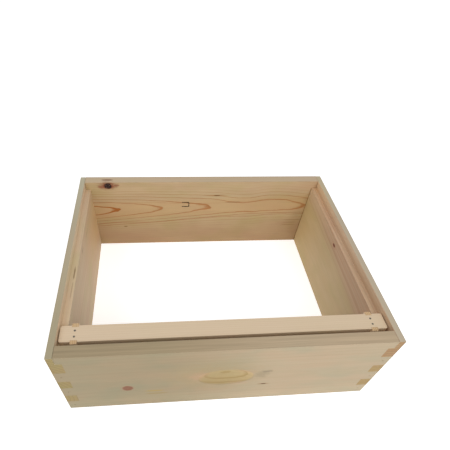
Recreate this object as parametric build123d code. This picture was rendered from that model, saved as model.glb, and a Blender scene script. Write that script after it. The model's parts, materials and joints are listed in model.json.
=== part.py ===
from build123d import *
import os

# A medium-depth Langstroth hive box of finger-jointed pine boards, with one
# frame hanging in its rests. Millimetres. X runs along the long boards, Y from
# front to back and Z up. The origin is the centre of the box's footprint.

# Box
BOX_LENGTH = 505.0
BOX_DEPTH = 413.0
BOX_HEIGHT = 168.0
BOARD = 19.0
REST_WIDTH = 9.5
REST_DROP = 17.0
LONG_FINGER = 27.0
END_FINGER = 22.0
PLUG_GAP = 0.5

# Scooped handhold in the middle of each outer face
HANDHOLD_WIDTH = 90.0
HANDHOLD_HEIGHT = 50.0
HANDHOLD_DEPTH = 9.0

# Brads that pin the corner fingers, set a little below the wood
BRAD_LENGTH = 45.0
BRAD_RADIUS = 0.8
BRAD_HEAD_RADIUS = 1.0
BRAD_HEAD_THICK = 0.8
BRAD_SET = 0.8

# Wire staple hammered flat on the back board's inner face
STAPLE_CROWN = 11.0
STAPLE_LEG = 15.0
STAPLE_WIRE_RADIUS = 0.8
STAPLE_BEND = 1.5
STAPLE_X = -31.0
STAPLE_Z = 111.5

# Frame
TOP_BAR_LENGTH = 482.0
TOP_BAR_WIDTH = 27.0
TOP_BAR_THICK = 19.0
LUG_THICK = 9.5
LUG_CORNER = 3.0
NECK_WIDTH = 22.0
FRAME_LENGTH = 450.0
FRAME_HEIGHT = 159.0
FRAME_GAP = 6.0
END_BAR_THICK = 9.5
END_BAR_WIDE = 35.0
END_BAR_NARROW = 28.0
END_BAR_SHOULDER = 66.0
END_BAR_TAPER = 9.0
BOTTOM_BAR_WIDTH = 19.0
BOTTOM_BAR_THICK = 9.5

# Foundation: a thin sheet held in two grooves, thicker where its cells are
SHEET_THICK = 2.4
CELL_FIELD_THICK = 5.2
CELL_FIELD_MARGIN = 3.0
SHEET_END_GAP = 2.0
GROOVE_WIDTH = 3.2
GROOVE_DEPTH = 5.0
GROOVE_CLEARANCE = 0.5

# Frame nails
NAIL_RADIUS = 0.8
NAIL_HEAD_RADIUS = 1.6
NAIL_HEAD_THICK = 0.7
TOP_NAIL_LENGTH = 36.0
BOTTOM_NAIL_LENGTH = 26.0
NAIL_SPREAD = 10.0

# Places that follow from the sizes above
HALF_LENGTH = BOX_LENGTH / 2
HALF_DEPTH = BOX_DEPTH / 2
INNER_X = HALF_LENGTH - BOARD
INNER_Y = HALF_DEPTH - BOARD
REST_X = INNER_X + REST_WIDTH
REST_Z = BOX_HEIGHT - REST_DROP
FRAME_Y = -INNER_Y + FRAME_GAP + END_BAR_WIDE / 2
FRAME_TOP = REST_Z + LUG_THICK
FRAME_BOTTOM = FRAME_TOP - FRAME_HEIGHT
END_BAR_X = FRAME_LENGTH / 2
END_BAR_INNER_X = END_BAR_X - END_BAR_THICK
BOTTOM_BAR_TOP = FRAME_BOTTOM + BOTTOM_BAR_THICK
TOP_BAR_UNDERSIDE = FRAME_TOP - TOP_BAR_THICK

HALF_TURN = Rot(0, 0, 180)


def block(x, y, z):
    """A box between the two ends given for each axis."""
    size = [abs(end - start) for start, end in (x, y, z)]
    middle = [(start + end) / 2 for start, end in (x, y, z)]
    return Pos(*middle) * Box(*size)


def finger_spans():
    """Heights of the long boards' fingers and the end boards' fingers, below the rests."""
    long_spans = []
    end_spans = []
    base = 0.0
    while base + LONG_FINGER < REST_Z:
        shoulder = base + LONG_FINGER
        top = shoulder + END_FINGER
        if top + LONG_FINGER > REST_Z:
            top = REST_Z
        long_spans.append((base, shoulder))
        end_spans.append((shoulder, top))
        base = top
    return long_spans, end_spans


def arc_radius(chord, rise):
    """Radius of the arc that has this chord and this rise."""
    return (chord ** 2 / 4 + rise ** 2) / (2 * rise)


def handhold_cutter():
    """Scoop for a board whose outer face lies in the plane Y = 0 and looks along -Y."""
    reach = arc_radius(HANDHOLD_WIDTH, HANDHOLD_DEPTH)
    lip = arc_radius(HANDHOLD_HEIGHT, HANDHOLD_DEPTH)
    return Pos(0, HANDHOLD_DEPTH - reach, BOX_HEIGHT / 2) * Torus(reach - lip, lip)


def upright_nail(length, radius, head_radius, head_thick):
    """A headed nail that points down, with the top of its head at Z = 0."""
    shank = Pos(0, 0, -length / 2) * Cylinder(radius, length)
    head = Pos(0, 0, -head_thick / 2) * Cylinder(head_radius, head_thick)
    return shank + head


def brad():
    """A brad driven along -Z into a face at Z = 0."""
    nail = upright_nail(BRAD_LENGTH, BRAD_RADIUS, BRAD_HEAD_RADIUS, BRAD_HEAD_THICK)
    return Pos(0, 0, -BRAD_SET) * nail


def brad_dimple():
    """The open hole that the set punch leaves above a brad's head."""
    return Pos(0, 0, -BRAD_SET / 2) * Cylinder(BRAD_HEAD_RADIUS, BRAD_SET)


def brad_places():
    """Where the front left corner's brads go in, as locations whose -Z is the way they go."""
    long_spans, end_spans = finger_spans()
    finger_middle = BOARD / 2
    through_front = [
        Pos(-HALF_LENGTH + finger_middle, -HALF_DEPTH, (low + high) / 2) * Rot(90, 0, 0)
        for low, high in long_spans
    ]
    through_end = [
        Pos(-HALF_LENGTH, -HALF_DEPTH + finger_middle, (low + high) / 2) * Rot(0, -90, 0)
        for low, high in end_spans
    ]
    return through_front + through_end


def front_left(shape):
    return shape


def front_right(shape):
    return mirror(shape, about=Plane.YZ)


def back_left(shape):
    return mirror(shape, about=Plane.XZ)


def back_right(shape):
    return HALF_TURN * shape


CORNERS = {
    "front_left": front_left,
    "front_right": front_right,
    "back_left": back_left,
    "back_right": back_right,
}


def corner_brads():
    """One list of separate brads for each corner."""
    brads = [place * brad() for place in brad_places()]
    return {name: [put(one) for one in brads] for name, put in CORNERS.items()}


def brad_holes():
    """What the brads and their dimples take out of the wood, at all four corners."""
    holes = [place * (brad() + brad_dimple()) for place in brad_places()]
    return [put(one) for put in CORNERS.values() for one in holes]


def long_board():
    """The front board, with fingers between those of the end boards.

    Above the rests a thin plug closes each end board's rebate, with a hair of room at its end.
    """
    board = block(
        (-HALF_LENGTH, HALF_LENGTH),
        (-HALF_DEPTH, -INNER_Y),
        (0, BOX_HEIGHT),
    )
    end_spans = finger_spans()[1]
    for side in (-1, 1):
        for span in end_spans:
            board -= block((side * INNER_X, side * HALF_LENGTH), (-HALF_DEPTH, -INNER_Y), span)
        board -= block(
            (side * (REST_X - PLUG_GAP), side * HALF_LENGTH),
            (-HALF_DEPTH, -INNER_Y),
            (REST_Z, BOX_HEIGHT),
        )
    return board - Pos(0, -HALF_DEPTH, 0) * handhold_cutter()


def end_board():
    """The left board, with the rest for the frames cut along its inner top edge."""
    board = block(
        (-HALF_LENGTH, -INNER_X),
        (-HALF_DEPTH, HALF_DEPTH),
        (0, BOX_HEIGHT),
    )
    board -= block(
        (-REST_X, -INNER_X),
        (-HALF_DEPTH, HALF_DEPTH),
        (REST_Z, BOX_HEIGHT),
    )
    long_spans = finger_spans()[0]
    for side in (-1, 1):
        for span in long_spans:
            board -= block(
                (-HALF_LENGTH, -INNER_X),
                (side * INNER_Y, side * HALF_DEPTH),
                span,
            )
    return board - Pos(-HALF_LENGTH, 0, 0) * Rot(0, 0, -90) * handhold_cutter()


def flat_staple():
    """A U of wire on the back board's inner face, sunk to half its thickness."""
    upper = STAPLE_Z + STAPLE_CROWN / 2
    lower = STAPLE_Z - STAPLE_CROWN / 2
    tip = STAPLE_X - STAPLE_LEG
    path = FilletPolyline(
        (tip, INNER_Y, upper),
        (STAPLE_X, INNER_Y, upper),
        (STAPLE_X, INNER_Y, lower),
        (tip, INNER_Y, lower),
        radius=STAPLE_BEND,
    )
    section = Plane(origin=(tip, INNER_Y, upper), z_dir=(1, 0, 0)) * Circle(STAPLE_WIRE_RADIUS)
    return sweep(section, path=path)


def eased_lug(side):
    """One end of the top bar, half as thick as the bar, with its upright corners rounded."""
    lug = block(
        (side * END_BAR_X, side * TOP_BAR_LENGTH / 2),
        (-TOP_BAR_WIDTH / 2, TOP_BAR_WIDTH / 2),
        (FRAME_TOP - LUG_THICK, FRAME_TOP),
    )
    outer = lug.edges().filter_by(Axis.Z).sort_by(Axis.X)
    corners = outer[-2:] if side > 0 else outer[:2]
    return fillet(corners, LUG_CORNER)


def top_bar():
    """The top bar, necked where the end bars hold it, with a groove for the sheet."""
    bar = block(
        (-END_BAR_INNER_X, END_BAR_INNER_X),
        (-TOP_BAR_WIDTH / 2, TOP_BAR_WIDTH / 2),
        (TOP_BAR_UNDERSIDE, FRAME_TOP),
    )
    bar += block(
        (-END_BAR_X, END_BAR_X),
        (-NECK_WIDTH / 2, NECK_WIDTH / 2),
        (TOP_BAR_UNDERSIDE, FRAME_TOP),
    )
    bar += eased_lug(-1)
    bar += eased_lug(1)
    bar -= block(
        (-END_BAR_INNER_X, END_BAR_INNER_X),
        (-GROOVE_WIDTH / 2, GROOVE_WIDTH / 2),
        (TOP_BAR_UNDERSIDE, TOP_BAR_UNDERSIDE + GROOVE_DEPTH),
    )
    return bar


def bottom_bar():
    """The bottom bar, with its own groove for the sheet."""
    bar = block(
        (-END_BAR_X, END_BAR_X),
        (-BOTTOM_BAR_WIDTH / 2, BOTTOM_BAR_WIDTH / 2),
        (FRAME_BOTTOM, BOTTOM_BAR_TOP),
    )
    bar -= block(
        (-END_BAR_INNER_X, END_BAR_INNER_X),
        (-GROOVE_WIDTH / 2, GROOVE_WIDTH / 2),
        (BOTTOM_BAR_TOP - GROOVE_DEPTH, BOTTOM_BAR_TOP),
    )
    return bar


def end_bar():
    """The right end bar: wide above to space the frames, narrow below, slotted at both ends."""
    wide = END_BAR_WIDE / 2
    narrow = END_BAR_NARROW / 2
    shoulder = FRAME_TOP - END_BAR_SHOULDER
    taper_end = shoulder - END_BAR_TAPER
    half_outline = [
        (narrow, FRAME_BOTTOM),
        (narrow, taper_end),
        (wide, shoulder),
        (wide, FRAME_TOP),
    ]
    other_half = [(-y, z) for y, z in reversed(half_outline)]
    outline = Plane.YZ * make_face(Polyline(*half_outline, *other_half, close=True))
    bar = Pos(END_BAR_INNER_X, 0, 0) * extrude(outline, END_BAR_THICK, dir=(1, 0, 0))
    bar -= block(
        (END_BAR_INNER_X, END_BAR_X),
        (-NECK_WIDTH / 2, NECK_WIDTH / 2),
        (TOP_BAR_UNDERSIDE, FRAME_TOP),
    )
    bar -= block(
        (END_BAR_INNER_X, END_BAR_X),
        (-BOTTOM_BAR_WIDTH / 2, BOTTOM_BAR_WIDTH / 2),
        (FRAME_BOTTOM, BOTTOM_BAR_TOP),
    )
    return bar


def foundation_sheet():
    """The sheet in its two grooves, with the thicker field of cells on both faces."""
    tongue = GROOVE_DEPTH - GROOVE_CLEARANCE
    half_length = END_BAR_INNER_X - SHEET_END_GAP
    sheet = block(
        (-half_length, half_length),
        (-SHEET_THICK / 2, SHEET_THICK / 2),
        (BOTTOM_BAR_TOP - tongue, TOP_BAR_UNDERSIDE + tongue),
    )
    field = block(
        (-half_length, half_length),
        (-CELL_FIELD_THICK / 2, CELL_FIELD_THICK / 2),
        (BOTTOM_BAR_TOP + CELL_FIELD_MARGIN, TOP_BAR_UNDERSIDE - CELL_FIELD_MARGIN),
    )
    return sheet + field


def frame_nails(length, head_height, tilt):
    """Two nails at each end of the frame, tilted to point down or up."""
    nail = upright_nail(length, NAIL_RADIUS, NAIL_HEAD_RADIUS, NAIL_HEAD_THICK)
    nail_x = END_BAR_X - END_BAR_THICK / 2
    return [
        Pos(side * nail_x, spread * NAIL_SPREAD / 2, head_height) * tilt * nail
        for side in (-1, 1)
        for spread in (-1, 1)
    ]


def without(piece, cutters):
    """The piece with each cutter taken out of it."""
    for cutter in cutters:
        piece -= cutter
    return piece


def box_nodes():
    """The four boards, the corner brads and the flat staple."""
    holes = brad_holes()
    staple = flat_staple()
    nodes = {
        "front_long_board": without(long_board(), holes),
        "back_long_board": without(HALF_TURN * long_board(), holes + [staple]),
        "left_end_board": without(end_board(), holes),
        "right_end_board": without(HALF_TURN * end_board(), holes),
        "flat_staple": staple,
    }
    for corner, brads in corner_brads().items():
        nodes[corner + "_brads"] = Compound(children=brads)
    return nodes


def frame_nodes():
    """The frame's pieces, moved from the plane Y = 0 to where the frame hangs."""
    top_nails = frame_nails(TOP_NAIL_LENGTH, FRAME_TOP, Rot(0, 0, 0))
    bottom_nails = frame_nails(BOTTOM_NAIL_LENGTH, FRAME_BOTTOM, Rot(180, 0, 0))
    nails = top_nails + bottom_nails
    nodes = {
        "top_bar": without(top_bar(), nails),
        "bottom_bar": without(bottom_bar(), nails),
        "left_end_bar": without(HALF_TURN * end_bar(), nails),
        "right_end_bar": without(end_bar(), nails),
        "foundation_sheet": foundation_sheet(),
        "top_bar_nails": Compound(children=top_nails),
        "bottom_bar_nails": Compound(children=bottom_nails),
    }
    return {name: Pos(0, FRAME_Y, 0) * shape for name, shape in nodes.items()}


def main():
    os.makedirs("parts", exist_ok=True)
    nodes = {**box_nodes(), **frame_nodes()}
    for name, shape in nodes.items():
        shape.label = name
        export_step(shape, "parts/" + name + ".step")


main()
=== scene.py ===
import json
import math
from dataclasses import dataclass

import bmesh
import bpy
from mathutils import Matrix, Vector


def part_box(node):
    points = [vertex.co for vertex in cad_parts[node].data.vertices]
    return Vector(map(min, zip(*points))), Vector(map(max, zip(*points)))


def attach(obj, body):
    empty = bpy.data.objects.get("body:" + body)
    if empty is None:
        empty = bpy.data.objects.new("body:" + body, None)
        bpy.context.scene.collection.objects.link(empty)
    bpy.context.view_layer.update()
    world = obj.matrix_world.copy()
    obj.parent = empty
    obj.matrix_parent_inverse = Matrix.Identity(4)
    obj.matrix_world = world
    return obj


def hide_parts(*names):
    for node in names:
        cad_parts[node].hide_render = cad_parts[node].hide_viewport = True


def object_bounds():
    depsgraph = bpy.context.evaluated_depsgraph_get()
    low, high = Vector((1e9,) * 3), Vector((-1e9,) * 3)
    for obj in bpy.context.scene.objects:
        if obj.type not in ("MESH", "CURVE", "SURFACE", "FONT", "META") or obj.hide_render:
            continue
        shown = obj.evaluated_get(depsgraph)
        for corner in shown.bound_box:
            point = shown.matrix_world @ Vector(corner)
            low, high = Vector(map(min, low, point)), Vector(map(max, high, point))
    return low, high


# A pine Langstroth hive box with one frame hanging in it. Everything is in metres
# in the CAD frame, except that the wood's patterns and the shader nodes work in
# millimetres.

MM = 0.001

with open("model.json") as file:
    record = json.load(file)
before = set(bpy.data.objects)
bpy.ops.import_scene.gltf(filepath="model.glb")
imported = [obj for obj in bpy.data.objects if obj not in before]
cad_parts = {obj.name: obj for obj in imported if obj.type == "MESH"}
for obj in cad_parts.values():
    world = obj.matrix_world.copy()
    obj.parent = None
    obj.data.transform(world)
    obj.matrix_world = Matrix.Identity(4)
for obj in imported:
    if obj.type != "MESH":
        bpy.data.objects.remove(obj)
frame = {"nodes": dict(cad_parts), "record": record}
cad_low, cad_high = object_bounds()

# ---------------------------------------------------------------- camera

CAMERA_PLACE = Vector((-0.0959, -0.4523, 0.6063))
CAMERA_HEADING = math.radians(7.98)
CAMERA_DOWN = math.radians(49.99)
CAMERA_ROLL = math.radians(4.35)
CAMERA_LENS = 29.117
CAMERA_SENSOR = 36.0
CAMERA_SHIFT = (0.0689, 0.1333)
CAMERA_REACH = (0.01, 20.0)


def make_camera():
    data = bpy.data.cameras.new("camera")
    data.sensor_width = CAMERA_SENSOR
    data.lens = CAMERA_LENS
    data.shift_x, data.shift_y = CAMERA_SHIFT
    data.clip_start, data.clip_end = CAMERA_REACH
    camera = bpy.data.objects.new("camera", data)
    look = Vector((
        math.sin(CAMERA_HEADING) * math.cos(CAMERA_DOWN),
        math.cos(CAMERA_HEADING) * math.cos(CAMERA_DOWN),
        -math.sin(CAMERA_DOWN),
    ))
    level_right = Vector((math.cos(CAMERA_HEADING), -math.sin(CAMERA_HEADING), 0.0))
    level_up = level_right.cross(look)
    right = level_right * math.cos(CAMERA_ROLL) + level_up * math.sin(CAMERA_ROLL)
    up = level_up * math.cos(CAMERA_ROLL) - level_right * math.sin(CAMERA_ROLL)
    turn = Matrix((right, up, -look)).transposed()
    camera.matrix_world = Matrix.Translation(CAMERA_PLACE) @ turn.to_4x4()
    bpy.context.scene.collection.objects.link(camera)
    bpy.context.scene.camera = camera


# ---------------------------------------------------------------- shader graphs


class Value:
    """A number, vector or colour that varies over a surface, as a shader node's output."""

    def __init__(self, graph, socket):
        self.graph = graph
        self.socket = socket

    def __add__(self, other):
        return self.graph.math("ADD", self, other)

    def __sub__(self, other):
        return self.graph.math("SUBTRACT", self, other)

    def __mul__(self, other):
        return self.graph.math("MULTIPLY", self, other)

    def __rsub__(self, other):
        return self.graph.math("SUBTRACT", other, self)

    __radd__ = __add__
    __rmul__ = __mul__


class Graph:
    """One material's node tree, around a Principled shader."""

    def __init__(self, name):
        self.material = bpy.data.materials.new(name)
        self.material.use_nodes = True
        self.tree = self.material.node_tree
        self.tree.nodes.clear()
        self.shader = self.tree.nodes.new("ShaderNodeBsdfPrincipled")
        output = self.tree.nodes.new("ShaderNodeOutputMaterial")
        self.tree.links.new(self.shader.outputs["BSDF"], output.inputs["Surface"])
        self.places = self.tree.nodes.new("ShaderNodeTexCoord")

    def feed(self, socket, value):
        """Links a Value into a socket, or sets a plain number or colour on it."""
        if isinstance(value, Value):
            self.tree.links.new(value.socket, socket)
        elif isinstance(value, (tuple, list)) and len(value) == 3 and socket.type == "RGBA":
            socket.default_value = (*value, 1.0)
        else:
            socket.default_value = value

    def math(self, operation, *values):
        node = self.tree.nodes.new("ShaderNodeMath")
        node.operation = operation
        for socket, value in zip(node.inputs, values):
            self.feed(socket, value)
        return Value(self, node.outputs[0])

    def separate(self, vector):
        node = self.tree.nodes.new("ShaderNodeSeparateXYZ")
        self.feed(node.inputs[0], vector)
        return [Value(self, socket) for socket in node.outputs]

    def combine(self, x, y, z):
        node = self.tree.nodes.new("ShaderNodeCombineXYZ")
        for socket, value in zip(node.inputs, (x, y, z)):
            self.feed(socket, value)
        return Value(self, node.outputs[0])

    def position(self):
        """The point on the piece in the CAD frame, in millimetres, as three Values."""
        return [v * (1 / MM) for v in self.separate(Value(self, self.places.outputs["Object"]))]

    def normal(self):
        return self.separate(Value(self, self.places.outputs["Normal"]))

    def noise(self, vector, scale, detail, roughness=0.5):
        """Noise around zero, from about -1 to 1."""
        node = self.tree.nodes.new("ShaderNodeTexNoise")
        self.feed(node.inputs["Vector"], vector)
        self.feed(node.inputs["Scale"], scale)
        self.feed(node.inputs["Detail"], detail)
        self.feed(node.inputs["Roughness"], roughness)
        return Value(self, node.outputs["Fac"]) * 2.0 - 1.0

    def chance(self, value):
        """A number from 0 to 1 that is the same wherever value is the same."""
        node = self.tree.nodes.new("ShaderNodeTexWhiteNoise")
        node.noise_dimensions = "1D"
        self.feed(node.inputs["W"], value)
        return Value(self, node.outputs["Value"])

    def cells(self, vector, scale):
        """Distance to the nearest of many scattered points."""
        node = self.tree.nodes.new("ShaderNodeTexVoronoi")
        self.feed(node.inputs["Vector"], vector)
        self.feed(node.inputs["Scale"], scale)
        return Value(self, node.outputs["Distance"])

    def step(self, value, low, high):
        """0 below low, 1 above high and smooth between them; low may be the larger."""
        node = self.tree.nodes.new("ShaderNodeMapRange")
        node.interpolation_type = "SMOOTHSTEP"
        turned = low > high
        self.feed(node.inputs["Value"], value)
        self.feed(node.inputs["From Min"], high if turned else low)
        self.feed(node.inputs["From Max"], low if turned else high)
        self.feed(node.inputs["To Min"], 1.0 if turned else 0.0)
        self.feed(node.inputs["To Max"], 0.0 if turned else 1.0)
        return Value(self, node.outputs["Result"])

    def mix(self, first, second, share, blend="MIX"):
        node = self.tree.nodes.new("ShaderNodeMix")
        node.data_type = "RGBA"
        node.blend_type = blend
        self.feed(node.inputs["Factor"], share)
        first_colour, second_colour = node.inputs[6:8]
        self.feed(first_colour, first)
        self.feed(second_colour, second)
        return Value(self, node.outputs[2])

    def curve(self, value, points):
        """A smooth curve through (input, output) points; a single point makes it the same all over."""
        lowest = min(out for at, out in points)
        span = max(out for at, out in points) - lowest
        if span == 0:
            return lowest
        first = points[0][0]
        reach = points[-1][0] - first
        node = self.tree.nodes.new("ShaderNodeFloatCurve")
        line = node.mapping.curves[0]
        places = [((at - first) / reach, (out - lowest) / span) for at, out in points]
        line.points[0].location = places[0]
        line.points[1].location = places[-1]
        for x, y in places[1:-1]:
            line.points.new(x, y)
        node.mapping.update()
        self.feed(node.inputs["Value"], (value - first) * (1 / reach))
        return Value(self, node.outputs[0]) * span + lowest

    def bump(self, height, depth):
        """Relief from a height between about 0 and 1, that many metres deep."""
        node = self.tree.nodes.new("ShaderNodeBump")
        self.feed(node.inputs["Strength"], 1.0)
        self.feed(node.inputs["Distance"], depth)
        self.feed(node.inputs["Height"], height)
        self.tree.links.new(node.outputs["Normal"], self.shader.inputs["Normal"])

    def surface(self, **values):
        for name, value in values.items():
            self.feed(self.shader.inputs[name.replace("_", " ")], value)
        return self.material


# ---------------------------------------------------------------- wood

AXES = {"X": 0, "Y": 1, "Z": 2}
REST_WIDTH = 9.5
REST_DOWN = 17.0
REST_HEIGHT = cad_high.z / MM - REST_DOWN
REST_BORDER = 0.6
SCOOP_BEGINS = (0.1, 1.6)
SCOOP_ENDS = (12.0, 10.0)
GRAIN_RELIEF = 0.00006


def srgb(red, green, blue):
    """A colour given as screen values from 0 to 255, in linear light."""
    return tuple(
        v / 255 / 12.92 if v / 255 <= 0.04045 else ((v / 255 + 0.055) / 1.055) ** 2.4
        for v in (red, green, blue)
    )


@dataclass
class Fade:
    """A tint that comes in from start to end on an axis, and only down to deep if that is given."""

    axis: str
    start: float
    end: float
    tint: tuple
    drift: float = 8.0
    deep: float = None


@dataclass
class Band:
    """A stripe that runs beside a line of (length, width) points, from start to end off it."""

    line: list
    start: float
    soft: float
    colour: tuple
    share: float
    end: float = None
    sway: float = 3.0
    frayed: float = 3.0


@dataclass
class Spot:
    """A knot or a mark, with its middle and its half sizes as (length, width).

    Deep is its half size in depth, with the middle at at_depth; without it a spot goes right
    through the board. A knot can have a cracked heart and a halo, and it pushes the rings aside.
    """

    at: tuple
    size: tuple
    colour: tuple
    share: float = 1.0
    soft: float = 0.0
    ragged: float = 0.15
    deep: float = None
    at_depth: float = 0.0
    heart: tuple = None
    halo: tuple = None
    halo_size: tuple = None
    halo_share: float = 0.0
    push: float = 0.0


@dataclass
class Board:
    """How one board was cut from its log, and what colours it has. Lengths are in millimetres.

    along, across and into say which CAD axis runs along the grain, across the board's
    show face, and into it. Depth starts from the show face, at face, and goes in_sign.
    The core is the line of the log's pith, as (length, width, depth) points. The line_shares
    say how strongly the rings show at each (radius, share). A seam is (length, top, tint),
    a line of painted shade in an inner corner; the frame rest's tint is painted light, and
    the handhold's tint is its fresh-cut tone brightened with painted light.
    """

    along: str
    across: str
    into: str
    face: float
    in_sign: float
    core: list
    ring: float
    sway: float
    seed: float
    line_shares: list
    pale: tuple
    warm: tuple
    cool: tuple
    late: tuple
    phase: float = 0.0
    line_start: float = 0.55
    end_tint: tuple = (0.82, 0.74, 0.54)
    edge_colour: tuple = None
    edge_share: float = 0.75
    edge_streaks: float = 0.05
    rest_painted_light: tuple = None
    rest_stripe: tuple = None
    scoop_tone_and_painted_light: tuple = None
    scoop_lines: float = 0.0
    seam: tuple = None
    fades: tuple = ()
    bands: tuple = ()
    spots: tuple = ()


class Timber:
    """Builds the shader of one board, with growth rings round its core line."""

    def __init__(self, name, board):
        self.graph = Graph(name)
        self.board = board
        point = self.graph.position()
        normal = self.graph.normal()
        self.length = point[AXES[board.along]]
        self.width = point[AXES[board.across]]
        self.depth = (point[AXES[board.into]] - board.face) * board.in_sign
        self.end_facing = self.graph.math("ABSOLUTE", normal[AXES[board.along]])
        self.edge_facing = normal[AXES[board.across]]
        self.show_facing = normal[AXES[board.into]] * -board.in_sign
        self.sway = self.grain(0.006, 0.016)
        self.ripple = self.grain(0.03, 0.06)
        self.ragged = self.grain(0.12, 0.25)
        self.streak = self.grain(0.010, 0.45, 3.0, 0.6)
        self.bandwise = self.grain(0.004, 0.12, 3.0, 0.6, 200.0)
        self.fibre = self.grain(0.05, 2.6, 3.0, 0.6)
        self.wobble = self.grain(0.05, 0.09, 3.0, 0.6, 70.0)
        self.in_rest = self.inside_rest()
        self.in_scoop = self.inside_scoop()

    def grain(self, along, across, detail=2.0, roughness=0.5, shift=0.0):
        """Noise from about -1 to 1 with so many waves in a millimetre, along and across the grain."""
        place = self.graph.combine(
            (self.length + self.board.seed + shift) * along, self.width * across, self.depth * across,
        )
        return self.graph.noise(place, 1.0, detail, roughness)

    def inside_rest(self):
        """1 on the frame rest's ledge and riser, 0 elsewhere."""
        near_edge = self.graph.step(self.depth, REST_WIDTH + REST_BORDER, REST_WIDTH)
        return near_edge * self.graph.step(self.width, REST_HEIGHT - REST_BORDER, REST_HEIGHT)

    def inside_scoop(self):
        """1 on the floor of the handhold, 0 elsewhere."""
        deep = self.graph.step(self.depth, *SCOOP_BEGINS) * self.graph.step(self.depth, *SCOOP_ENDS)
        return deep * self.graph.step(self.show_facing, 0.4, 0.6)

    def reach(self, spot, size):
        """How far a point is from the middle of a spot, 1 being on its edge."""
        u = (self.length - spot.at[0]) * (1 / size[0])
        v = (self.width - spot.at[1]) * (1 / size[1])
        square = u * u + v * v
        if spot.deep:
            w = (self.depth - spot.at_depth) * (1 / spot.deep)
            square = square + w * w
        return self.graph.math("SQRT", square) + self.ragged * spot.ragged

    def radius(self):
        """Distance from the log's pith, bent a little and pushed aside by the knots."""
        graph, board = self.graph, self.board
        core_width = graph.curve(self.length, [(at, across) for at, across, depth in board.core])
        core_depth = graph.curve(self.length, [(at, depth) for at, across, depth in board.core])
        across = self.width - core_width + self.sway * (board.sway * 1.5)
        below = self.depth - core_depth + self.sway * board.sway
        radius = graph.math("SQRT", across * across + below * below)
        radius = radius + (self.ripple + self.wobble) * (0.1 * board.ring)
        for spot in board.spots:
            if spot.push:
                radius = radius + graph.step(self.reach(spot, spot.size), 3.2, 0.0) * spot.push
        return radius

    def rings(self):
        """The latewood line of each ring, from 0 to 1, and how strongly it shows."""
        graph, board = self.graph, self.board
        radius = self.radius()
        age = (radius + board.phase) * (1 / board.ring)
        part = graph.math("FRACT", age)
        line = graph.step(part, board.line_start, 0.92) * graph.step(part, 1.0, 0.95)
        share = graph.curve(radius, board.line_shares)
        if board.scoop_lines:
            share = share + self.in_scoop * board.scoop_lines
        if board.rest_stripe:
            share = share * (1.0 - self.in_rest)
        vary = graph.chance(graph.math("FLOOR", age)) * 0.5 + 0.75
        return line, share * vary

    def ground(self):
        """The colour between the rings, mottled and banded."""
        graph, board = self.graph, self.board
        blotch = self.grain(0.008, 0.03, 3.0)
        cloud = self.grain(0.012, 0.022, 2.0, 0.5, 900.0)
        colour = graph.mix(board.pale, board.warm, graph.step(blotch, -0.5, 0.5))
        colour = graph.mix(colour, board.cool, graph.step(cloud, -0.15, 0.55))
        for band in board.bands:
            off = self.width - graph.curve(self.length, band.line)
            off = off + self.sway * band.sway + self.streak * band.frayed
            inside = graph.step(off, band.start, band.start + band.soft)
            if band.end:
                inside = inside * graph.step(off, band.end, band.end - band.soft)
            colour = graph.mix(colour, band.colour, inside * band.share)
        return colour

    def fade(self, colour):
        """Slow changes of tone along the board or across it, some of them painted shade."""
        axes = {"length": self.length, "width": self.width, "depth": self.depth}
        for fade in self.board.fades:
            where = axes[fade.axis] + self.ripple * fade.drift
            place = self.graph.step(where, fade.start, fade.end)
            if fade.deep:
                place = place * self.graph.step(self.depth, fade.deep, fade.deep * 0.3)
            colour = self.graph.mix(colour, fade.tint, place, "MULTIPLY")
        return colour

    def tint_faces(self, colour, line):
        """End grain and the rim each have their own tone. The frame rest is lightened with painted light,
        and the handhold has its own tone brightened with painted light.
        """
        graph, board = self.graph, self.board
        on_end = graph.step(self.end_facing, 0.55, 0.9)
        pores = self.ragged * 0.05 + 1.0 - line * 0.13
        end = graph.mix(board.end_tint, graph.combine(pores, pores, pores), 1.0, "MULTIPLY")
        colour = graph.mix(colour, end, on_end, "MULTIPLY")
        on_edge = graph.step(self.edge_facing, 0.6, 0.95)
        if board.rest_painted_light:
            # Painted light: the recessed frame rest is lightened against its shade.
            colour = graph.mix(colour, board.rest_painted_light, self.in_rest, "MULTIPLY")
            stripe = graph.step(self.grain(0.004, 0.5, 2.0, 0.5, 600.0), -0.05, 0.3) * 0.42
            colour = graph.mix(colour, board.rest_stripe, self.in_rest * stripe)
            on_edge = on_edge * (1.0 - self.in_rest)
        colour = graph.mix(colour, board.edge_colour or board.pale, on_edge * board.edge_share)
        grimy = self.grain(0.006, 0.30, 3.0, 0.65, 400.0) * board.edge_streaks + 1.0
        colour = graph.mix(colour, graph.combine(grimy, grimy, grimy), on_edge, "MULTIPLY")
        if board.scoop_tone_and_painted_light:
            # The handhold's yellower fresh-cut tone, brightened with painted light against the dish's
            # shade.
            colour = graph.mix(colour, board.scoop_tone_and_painted_light, self.in_scoop, "MULTIPLY")
        return colour

    def paint_seam_shade(self, colour):
        """Painted shade: a dark line in one inner corner, where a neighbouring board meets this one."""
        graph = self.graph
        position, top, tint = self.board.seam
        off = graph.math("ABSOLUTE", self.length - position)
        line = graph.step(off, 2.4, 0.6) * graph.step(self.show_facing, 0.6, 0.9)
        return graph.mix(colour, tint, line * graph.step(self.width, top + 1.0, top), "MULTIPLY")

    def paint_spot(self, colour, spot):
        """A knot, or a mark that goes only as deep as it says."""
        graph = self.graph
        if spot.halo:
            around = self.reach(spot, spot.halo_size) + self.streak * 0.2
            colour = graph.mix(colour, spot.halo, graph.step(around, 1.0, 0.3) * spot.halo_share)
        fill = spot.colour
        if spot.heart:
            crack = self.grain(0.45, 0.5, 3.0, 0.7)
            fill = graph.mix(fill, spot.heart, graph.step(crack, 0.05, 0.35))
        inside = graph.step(self.reach(spot, spot.size), 1.15, 0.75 - spot.soft)
        return graph.mix(colour, fill, inside * spot.share)

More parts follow.
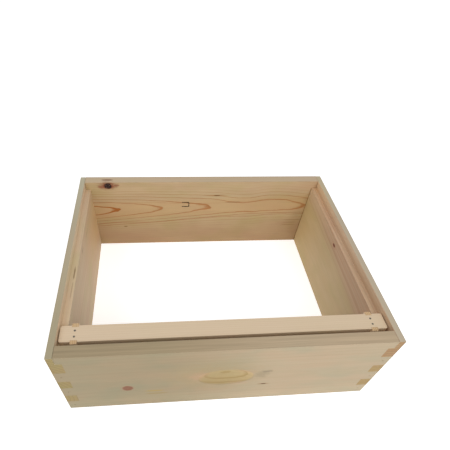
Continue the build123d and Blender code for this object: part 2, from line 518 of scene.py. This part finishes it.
    def finish(self):
        graph, board = self.graph, self.board
        line, share = self.rings()
        colour = graph.mix(self.ground(), board.late, line * share)
        tone = self.fibre * 0.06 + self.streak * 0.075 + self.bandwise * 0.06 + 1.0
        colour = graph.mix(colour, graph.combine(tone, tone, tone), 1.0, "MULTIPLY")
        colour = self.fade(self.tint_faces(colour, line))
        if board.seam:
            colour = self.paint_seam_shade(colour)
        for spot in board.spots:
            colour = self.paint_spot(colour, spot)
        graph.bump(line * share * 0.4 + self.fibre * 0.35 + self.streak * 0.2, GRAIN_RELIEF)
        rough = self.fibre * 0.05 - line * 0.06 + 0.64
        return graph.surface(Base_Color=colour, Roughness=rough, Specular_IOR_Level=0.25)


def pine(name, board):
    return Timber(name, board).finish()


def shaded_ridge(axis, start, end):
    """A ridge darkened with painted shade, as one of a board's fades."""
    return Fade(axis, start, end, (0.70, 0.69, 0.66), drift=0.4)


def front_board():
    """Greyish outer face, pinker in the middle, with a knot, small marks and a ringed handhold."""
    low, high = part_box("front_long_board")
    return Board(
        "X", "Z", "Y", low.y / MM, 1.0, [(0.0, high.z / MM / 2, 105.0)],
        ring=4.6, sway=2.4, seed=310.0, line_shares=[(0.0, 0.13)],
        pale=srgb(181, 165, 136), warm=srgb(187, 163, 134), cool=srgb(173, 162, 134),
        late=srgb(158, 137, 95), end_tint=(0.86, 0.80, 0.62),
        edge_colour=srgb(196, 174, 144), edge_streaks=0.32,
        # The handhold's tint is its yellower fresh-cut tone, brightened with painted light against the
        # dish's shade.
        scoop_tone_and_painted_light=(1.21, 1.14, 0.89), scoop_lines=0.85,
        fades=[
            # Painted shade: the first fade darkens the board towards its left end, where less light falls,
            # and the last darkens its bottom ridge.
            Fade("length", 95.0, -110.0, (0.76, 0.765, 0.71)),
            Fade("width", 45.0, 15.0, (1.07, 1.09, 1.10)),
            shaded_ridge("width", 2.4, 0.4),
        ],
        spots=[
            Spot((-153, 64), (8.5, 8.5), srgb(138, 92, 66), heart=srgb(118, 74, 52),
                 halo=srgb(176, 136, 108), halo_size=(15, 13), halo_share=0.5, push=3.0),
            Spot((-20, 92), (90, 60), srgb(172, 146, 104), share=0.6, ragged=0.4, soft=0.7, deep=14.0),
            Spot((-42, 90), (22, 18), srgb(192, 152, 121), share=0.45, ragged=0.6, soft=0.6, deep=12.0),
            Spot((28, 96), (22, 12), srgb(192, 156, 124), share=0.35, ragged=0.6, soft=0.6, deep=12.0),
            Spot((22, 62), (20, 7), srgb(190, 158, 128), share=0.4, ragged=0.6, soft=0.6, deep=4.0),
            Spot((64.5, 53.5), (4.5, 1.8), srgb(98, 66, 34), share=0.9, deep=3.0,
                 halo=srgb(146, 114, 74), halo_size=(14, 3), halo_share=0.7),
            Spot((56, 88), (12, 12), srgb(146, 132, 104), share=0.42, ragged=0.7, soft=0.3, deep=4.0),
            Spot((62, 97), (9, 5), srgb(128, 116, 92), share=0.45, ragged=0.6, soft=0.2, deep=4.0),
            Spot((-112, 50), (15, 2.6), srgb(170, 146, 78), share=0.8, deep=4.0),
            Spot((-108, 40), (18, 2.2), srgb(156, 134, 80), share=0.7, deep=4.0),
        ],
    )


def back_board():
    """Warm inner face whose pith line dips and rises, so that the rings close in long loops."""
    low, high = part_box("back_long_board")
    rim = high.z / MM
    core = [
        (-260, 96.5, -28.3), (-172, 99.5, -32.8), (-75, 102, -37.8), (23, 104, -42.4), (88, 102, -45.3),
        (130, 106, -44.4), (163, 108, -44.6), (200, 106, -45.6), (230, 104, -47.0), (260, 103, -49.0),
    ]
    wide_line = [(-240, 58), (-168, 64), (-114, 64), (-60, 69), (-6, 75), (48, 79), (120, 84), (240, 86)]
    low_line = [(-240, 53), (-168, 59), (-114, 62), (-60, 67), (48, 79), (120, 84), (240, 86)]
    high_line = [(-240, 117), (-120, 118), (-60, 115), (20, 114), (70, 117), (240, 124)]
    dark_lines = [
        Band(line, start=-width / 2, end=width / 2, soft=width / 2, sway=1.2, frayed=0.8,
             colour=srgb(168, 98, 42), share=share)
        for line, width, share in ((wide_line, 2.0, 0.75), (low_line, 1.4, 0.60), (high_line, 1.4, 0.50))
    ]
    streaks = [
        Spot((212 - 3 * k, 64 - 7 * k), (22 - 3 * k, 1.4), srgb(150, 112, 66), share=0.5, deep=3.0)
        for k in range(3)
    ]
    return Board(
        "X", "Z", "Y", low.y / MM, 1.0, core,
        ring=5.0, phase=2.7, sway=1.0, seed=40.0, line_start=0.78,
        line_shares=[
            (24, 0.95), (34, 0.95), (37, 0.72), (47, 0.70), (54, 0.58), (60, 0.34), (68, 0.14), (90, 0.10),
        ],
        pale=srgb(206, 182, 140), warm=srgb(200, 170, 132), cool=srgb(195, 174, 126),
        late=srgb(172, 104, 44), edge_colour=srgb(203, 184, 154), edge_streaks=0.12,
        # Painted shade in the inner corner where the right end board meets this one.
        seam=(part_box("right_end_board")[0].x / MM, REST_HEIGHT, (0.62, 0.50, 0.36)),
        bands=[
            Band([(-250, 78), (-60, 86), (120, 92), (240, 98)], start=-14, end=44, soft=16,
                 colour=srgb(205, 160, 104), share=0.36),
            *dark_lines,
        ],
        fades=[
            # Painted shade: the first fade darkens the inner face towards the bottom, and the last the
            # outer ridge.
            Fade("width", 115.0, 15.0, (0.72, 0.63, 0.59), deep=17.0),
            Fade("width", 130.0, 155.0, (1.08, 1.06, 1.10)),
            shaded_ridge("depth", 16.4, 18.6),
        ],
        spots=[
            Spot((-198, 160), (7.7, 7.2), srgb(44, 28, 26), heart=srgb(130, 96, 78), ragged=0.35,
                 halo=srgb(148, 82, 58), halo_size=(25, 12), halo_share=0.95, push=4.0, deep=9.0),
            Spot((-212, 157), (7, 5), srgb(160, 92, 66), share=0.5, ragged=0.7, soft=0.3, deep=3.0),
            Spot((-181, 161), (7, 2.6), srgb(150, 90, 60), share=0.6, ragged=0.5, soft=0.3, deep=3.0),
            Spot((-199, rim), (12, 4), srgb(126, 72, 56), share=0.75, deep=2.6, at_depth=9.0,
                 ragged=0.35),
            Spot((29, 134), (7, 1.6), srgb(122, 86, 46), share=0.8, deep=3.0, halo=srgb(176, 130, 78),
                 halo_size=(34, 3), halo_share=0.6),
            Spot((-172, 52), (4, 1.8), srgb(140, 108, 62), share=0.9, deep=3.0),
            Spot((67, 116), (17, 1.3), srgb(146, 100, 54), share=0.6, deep=3.0),
            *streaks,
        ],
    )


def left_board():
    """Pale pinkish inner face, warmer at the far end, a greyer rim, and a brown mark on the rest."""
    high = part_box("left_end_board")[1]
    rim = high.z / MM + 0.6
    return Board(
        "Y", "Z", "X", high.x / MM, -1.0, [(0.0, 40.0, 90.0)],
        ring=6.5, sway=5.0, seed=120.0, line_shares=[(0.0, 0.25)],
        pale=srgb(206, 184, 152), warm=srgb(204, 176, 145), cool=srgb(198, 180, 141),
        late=srgb(186, 152, 118), end_tint=(0.57, 0.56, 0.35),
        # The rest's tint is painted light on the recessed frame rest.
        edge_colour=srgb(188, 177, 151), edge_streaks=0.10, rest_painted_light=(1.30, 1.35, 1.42),
        rest_stripe=srgb(206, 184, 154),
        # Painted shade along the outer ridge.
        fades=[shaded_ridge("depth", 17.6, 18.8)],
        spots=[
            Spot((195, 85), (190, 84), srgb(210, 168, 110), share=0.55, soft=0.7, deep=7.0),
            Spot((205, rim), (160, 2.6), srgb(199, 193, 167), share=0.85, soft=0.7, ragged=0.1),
            Spot((-205, rim), (190, 2.6), srgb(176, 165, 135), share=0.9, soft=0.7, ragged=0.1),
            Spot((-40, REST_HEIGHT), (17, 2), srgb(146, 114, 80), share=0.75, deep=1.5, at_depth=4.0,
                 soft=0.5, ragged=0.45),
            Spot((-78, REST_HEIGHT), (24, 2), srgb(178, 150, 116), share=0.5, deep=1.4, at_depth=4.0,
                 soft=0.5, ragged=0.5),
            Spot((23, 140), (9, 1.6), srgb(130, 102, 76), share=0.6, deep=2.5, ragged=0.45),
            Spot((78, 132), (12, 1.4), srgb(146, 120, 94), share=0.5, deep=2.5, ragged=0.5),
        ],
    )


def right_board():
    """Olive-tan sapwood below, pinkish heartwood with darker stripes above."""
    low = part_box("right_end_board")[0]
    stripes = [
        Band([(-200, near), (200, far)], start=0, end=width, soft=2.5, colour=colour, share=share)
        for near, far, width, colour, share in (
            (101, 126, 6, srgb(182, 146, 114), 0.40),
            (115, 134, 8, srgb(174, 134, 102), 0.45),
            (130, 142, 5, srgb(192, 146, 116), 0.42),
            (141, 149, 6, srgb(184, 140, 108), 0.38),
        )
    ]
    return Board(
        "Y", "Z", "X", low.x / MM, 1.0, [(-200.0, 250.0, 30.0), (200.0, 275.0, 30.0)],
        ring=5.6, sway=2.0, seed=530.0, line_start=0.35,
        line_shares=[(60, 0.35), (128, 0.30), (158, 0.10), (250, 0.08)],
        pale=srgb(196, 173, 134), warm=srgb(192, 167, 126), cool=srgb(187, 167, 123),
        late=srgb(168, 126, 100), end_tint=(0.76, 0.68, 0.50), edge_colour=srgb(202, 188, 163),
        # The rest's tint is painted light on the recessed frame rest.
        edge_share=0.9, edge_streaks=0.05, rest_painted_light=(1.37, 1.47, 1.58),
        rest_stripe=srgb(182, 134, 108),
        fades=[
            Fade("length", 40.0, 190.0, (1.08, 1.08, 0.98)),
            # Painted shade along the outer ridge.
            shaded_ridge("depth", 17.6, 18.8),
        ],
        bands=[
            Band([(-200, 98), (200, 144)], start=-12, soft=26, colour=srgb(193, 162, 132), share=0.9),
            *stripes,
        ],
        spots=[
            Spot((195, 143), (170, 22), srgb(212, 186, 152), share=0.7, soft=0.7, deep=7.0),
            Spot((-130, 158), (190, 12), srgb(186, 157, 122), share=0.42, soft=0.4, deep=9.0,
                 at_depth=5.0),
            Spot((25, 137), (5, 3), srgb(120, 66, 48), halo=srgb(186, 138, 108), halo_size=(14, 7),
                 halo_share=0.5),
        ],
    )


def box_pines():
    """One pine for each of the four boards."""
    return {
        "front_long_board": pine("front_board_pine", front_board()),
        "back_long_board": pine("back_board_pine", back_board()),
        "left_end_board": pine("left_board_pine", left_board()),
        "right_end_board": pine("right_board_pine", right_board()),
    }


def frame_pines():
    """Pale pine for the frame's bars, each cut from its own stick."""
    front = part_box("top_bar")[0].y / MM
    colours = {
        "pale": srgb(229, 207, 177),
        "warm": srgb(226, 198, 168),
        "cool": srgb(224, 203, 166),
        "late": srgb(202, 160, 112),
        "line_shares": [(0.0, 0.6)],
        "end_tint": (0.90, 0.82, 0.66),
        "sway": 1.0,
    }
    sticks = {
        "top_bar": ("X", "Z", "Y", front, (0.0, 120.0, -30.0), 2.6, 700.0),
        "bottom_bar": ("X", "Z", "Y", front, (0.0, -30.0, -20.0), 2.2, 910.0),
        "left_end_bar": ("Z", "Y", "X", 0.0, (0.0, -120.0, 190.0), 2.4, 60.0),
        "right_end_bar": ("Z", "Y", "X", 0.0, (0.0, -190.0, -260.0), 2.8, 260.0),
    }
    pines = {}
    for node, (along, across, into, face, core, ring, seed) in sticks.items():
        stick = Board(along, across, into, face, 1.0, [core], ring=ring, seed=seed, **colours)
        pines[node] = pine(node + "_pine", stick)
    return pines


# ---------------------------------------------------------------- metal and plastic

WIRE_RELIEF = 0.00001
PLASTIC_RELIEF = 0.00002


def wire(name, bright, dark, roughness):
    """Drawn steel wire, with dull patches."""
    graph = Graph(name)
    point = graph.combine(*graph.position())
    patch = graph.step(graph.noise(point, 0.8, 3.0), -0.4, 0.5)
    scratch = graph.noise(point, 6.0, 2.0)
    colour = graph.mix(dark, bright, patch)
    graph.bump(scratch, WIRE_RELIEF)
    return graph.surface(
        Base_Color=colour, Metallic=1.0, Roughness=scratch * 0.08 + patch * -0.1 + roughness
    )


def black_plastic():
    """Moulded black sheet: dark cells, grey lips on their walls that are painted glints, and a few flecks
    of wax.
    """
    low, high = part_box("foundation_sheet")
    middle = (low.y + high.y) / 2 / MM
    top = (high.y - low.y) / 2 / MM
    graph = Graph("black_plastic")
    x, y, z = graph.position()
    point = graph.combine(x, y, z)
    bloom = graph.step(graph.noise(point, 0.02, 4.0, 0.6), -0.3, 0.7)
    lip_glint = graph.noise(point, 0.20, 3.0, 0.6) * 0.9 + bloom * 0.3 + 0.4
    lip = graph.step(graph.math("ABSOLUTE", y - middle), top - 0.5, top - 0.02)
    pit = graph.mix(srgb(7, 9, 12), srgb(17, 20, 26), bloom)
    # Painted glints: the lips are grey where light would glint off the black plastic.
    colour = graph.mix(pit, srgb(124, 131, 144), lip * lip_glint)
    fleck = graph.step(graph.cells(point, 0.035), 0.022, 0.012)
    colour = graph.mix(colour, srgb(196, 196, 190), fleck * 0.8)
    graph.bump(graph.noise(point, 3.0, 2.0), PLASTIC_RELIEF)
    return graph.surface(Base_Color=colour, Roughness=bloom * 0.12 + 0.30, Specular_IOR_Level=0.15)


# ---------------------------------------------------------------- meshes

SAME_PLACE = 0.002 * MM
FLAT_ANGLE = math.radians(0.5)
RIDGE_ANGLE = math.radians(25)
CREASE_ANGLE = math.radians(50)
SHORTEST_RIDGE = 0.9 * MM
RIDGE_SEGMENTS = 3


def add_piece(name, bm, body, slot, material):
    """Turns a bmesh into an object that rides on a body."""
    mesh = bpy.data.meshes.new(name)
    bm.to_mesh(mesh)
    bm.free()
    piece = bpy.data.objects.new(name, mesh)
    bpy.context.scene.collection.objects.link(piece)
    mesh.materials.append(material)
    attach(piece, body)
    return piece


def body_of_node(node):
    bodies = frame["record"]["behaviour"]["bodies"]
    return next(body for body, nodes in bodies.items() if node in nodes)


def slot_of_node(node):
    parts = frame["record"]["subparts"]
    return next(part["material_slot"] for part in parts if part["node"] == node)


def is_outer_ridge(edge):
    """True for a ridge that sanding would round: convex, sharp and not part of a nail hole."""
    if not edge.is_manifold or edge.calc_length() < SHORTEST_RIDGE:
        return False
    return edge.is_convex and edge.calc_face_angle() > RIDGE_ANGLE


def eased_copy(node, material, radius):
    """Makes a copy of a CAD node with its ridges rounded, which stands for the node."""
    bm = bmesh.new()
    bm.from_mesh(frame["nodes"][node].data)
    bmesh.ops.remove_doubles(bm, verts=bm.verts, dist=SAME_PLACE)
    bmesh.ops.dissolve_limit(
        bm, angle_limit=FLAT_ANGLE, verts=bm.verts, edges=bm.edges, use_dissolve_boundaries=False
    )
    ridges = [edge for edge in bm.edges if is_outer_ridge(edge)]
    bmesh.ops.bevel(
        bm, geom=ridges, offset=radius, offset_type="OFFSET", segments=RIDGE_SEGMENTS,
        profile=0.5, affect="EDGES", clamp_overlap=True,
    )
    for face in bm.faces:
        face.smooth = True
    for edge in bm.edges:
        edge.smooth = not (edge.is_manifold and edge.calc_face_angle() > CREASE_ANGLE)
    piece = add_piece(node + "_wood", bm, body_of_node(node), slot_of_node(node), material)
    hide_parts(node)
    weighted = piece.modifiers.new("even shading", "WEIGHTED_NORMAL")
    weighted.keep_sharp = True


def repaint(node, material):
    """Gives a CAD node that keeps its own mesh a better material."""
    thing = frame["nodes"][node]
    thing.data.materials.clear()
    thing.data.materials.append(material)


# ---------------------------------------------------------------- foundation

CELL_PITCH = 5.1 * MM
WIDEST_CELL = 1.2 * CELL_PITCH
CELL_WALL = 0.7 * MM
CELL_FLOOR = 0.9 * MM
CELL_STEP = 0.3 * MM
CELL_DIP = 0.7 * MM
CELL_TAPER = 0.94
SHEET_HALF = 1.2 * MM
GROOVED_MARGIN = 7.5 * MM
WELD = 0.01 * MM
KEYS_PER_MM = 50


def cell_centres(low, high):
    """Middles of the hexagons that fit whole between two corners, in upright columns.

    Every second column is half a cell higher than its neighbours.
    """
    step = CELL_PITCH * math.cos(math.radians(30))
    lift = CELL_PITCH / 2
    columns = int((high.x - low.x - WIDEST_CELL) / step) + 1
    rows = int((high.z - low.z - lift) / CELL_PITCH)
    start_x = (low.x + high.x - (columns - 1) * step) / 2
    start_z = (low.z + high.z - (rows - 1) * CELL_PITCH - lift) / 2
    for column in range(columns):
        for row in range(rows):
            yield start_x + column * step, start_z + row * CELL_PITCH + lift * (column % 2)


def cell_field(bm, low, high, side, middle_y):
    """Walls and three-sided floors of all the cells on one face of the sheet."""
    outer = CELL_PITCH / math.sqrt(3)
    inner = (CELL_PITCH - CELL_WALL) / math.sqrt(3)
    foot_reach = inner * CELL_TAPER
    top = (high.y - low.y) / 2
    rims = {}

    def vertex(x, height, z, shared=False):
        place = (x, middle_y + side * height, z)
        if not shared:
            return bm.verts.new(place)
        key = (round(x / MM * KEYS_PER_MM), round(z / MM * KEYS_PER_MM))
        if key not in rims:
            rims[key] = bm.verts.new(place)
        return rims[key]

    corners = [math.radians(60 * k) for k in range(6)]
    for centre_x, centre_z in cell_centres(low, high):
        rim = []
        lip = []
        foot = []
        for k, angle in enumerate(corners):
            across, up = math.cos(angle), math.sin(angle)
            foot_height = CELL_FLOOR + (0.0 if k % 2 else CELL_STEP)
            rim.append(vertex(centre_x + outer * across, top, centre_z + outer * up, shared=True))
            lip.append(vertex(centre_x + inner * across, top, centre_z + inner * up))
            foot.append(vertex(centre_x + foot_reach * across, foot_height, centre_z + foot_reach * up))
        floor = vertex(centre_x, CELL_FLOOR - CELL_DIP, centre_z)
        for k in range(len(corners)):
            after = (k + 1) % len(corners)
            bm.faces.new((rim[k], rim[after], lip[after], lip[k]))
            bm.faces.new((lip[k], lip[after], foot[after], foot[k]))
            bm.faces.new((foot[k], foot[after], floor))


def cell_sheet(material):
    """The foundation: two fields of cells back to back, with a flat sheet that runs into the grooves."""
    node = "foundation_sheet"
    low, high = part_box(node)
    middle_y = (low.y + high.y) / 2
    margin = Vector((0, 0, GROOVED_MARGIN))
    bm = bmesh.new()
    for side in (-1, 1):
        cell_field(bm, low + margin, high - margin, side, middle_y)
    bmesh.ops.remove_doubles(bm, verts=bm.verts, dist=WELD)
    border = [edge for edge in bm.edges if edge.is_boundary]
    for edge in border:
        edge.smooth = False
    skirt = bmesh.ops.extrude_edge_only(bm, edges=border)
    for item in skirt["geom"]:
        if isinstance(item, bmesh.types.BMVert):
            item.co.y = middle_y
    bmesh.ops.remove_doubles(bm, verts=bm.verts, dist=WELD)
    plate = bmesh.ops.create_cube(bm, size=1.0)["verts"]
    size = Vector((high.x - low.x, 2 * SHEET_HALF, high.z - low.z))
    centre = (low + high) / 2
    for vert in plate:
        vert.co = centre + Vector((vert.co.x * size.x, vert.co.y * size.y, vert.co.z * size.z))
    bmesh.ops.recalc_face_normals(bm, faces=bm.faces)
    piece = add_piece("foundation_cells", bm, body_of_node(node), slot_of_node(node), material)
    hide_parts(node)


# ---------------------------------------------------------------- stage

FLOOR_HALF = 6.0
FLOOR_GLOW = 0.6
SKY_STRENGTH = 0.5
LAMP_SIZE = 0.9


def make_floor():
    bm = bmesh.new()
    bmesh.ops.create_grid(bm, x_segments=1, y_segments=1, size=FLOOR_HALF)
    mesh = bpy.data.meshes.new("floor")
    bm.to_mesh(mesh)
    bm.free()
    floor = bpy.data.objects.new("floor", mesh)
    bpy.context.scene.collection.objects.link(floor)
    graph = Graph("floor_paper")
    point = graph.combine(*graph.position())
    tone = graph.noise(point, 0.002, 2.0) * 0.01 + 0.92
    mesh.materials.append(graph.surface(
        Base_Color=graph.combine(tone, tone, tone), Roughness=0.9, Specular_IOR_Level=0.1,
        Emission_Color=(1.0, 1.0, 1.0), Emission_Strength=FLOOR_GLOW,
    ))


def make_light(name, place, aim, watts):
    data = bpy.data.lights.new(name, "AREA")
    data.shape = "DISK"
    data.size = LAMP_SIZE
    data.energy = watts
    light = bpy.data.objects.new(name, data)
    light.location = place
    light.rotation_euler = (Vector(aim) - Vector(place)).to_track_quat("-Z", "Y").to_euler()
    bpy.context.scene.collection.objects.link(light)


def make_studio():
    world = bpy.data.worlds.new("studio")
    world.use_nodes = True
    sky = world.node_tree.nodes["Background"].inputs
    sky["Color"].default_value = (1.0, 1.0, 1.0, 1.0)
    sky["Strength"].default_value = SKY_STRENGTH
    bpy.context.scene.world = world
    bpy.context.scene.view_settings.view_transform = "Standard"
    middle = (cad_low + cad_high) / 2
    make_light("key", (0.5, -1.2, 1.3), middle, watts=8.0)
    make_light("fill", (-0.9, -0.3, 1.3), middle, watts=3.5)
    make_floor()


# ---------------------------------------------------------------- build

BOARD_EASE = 0.6 * MM
BAR_EASE = 0.5 * MM

make_camera()
make_studio()
for node, material in box_pines().items():
    eased_copy(node, material, BOARD_EASE)
for node, material in frame_pines().items():
    eased_copy(node, material, BAR_EASE)
cell_sheet(black_plastic())

nail_steel = wire("nail_steel", srgb(150, 144, 134), srgb(96, 90, 82), 0.48)
staple_steel = wire("staple_steel", srgb(74, 66, 54), srgb(34, 28, 22), 0.55)
for node in frame["nodes"]:
    if node.endswith(("brads", "nails")):
        repaint(node, nail_steel)
repaint("flat_staple", staple_steel)
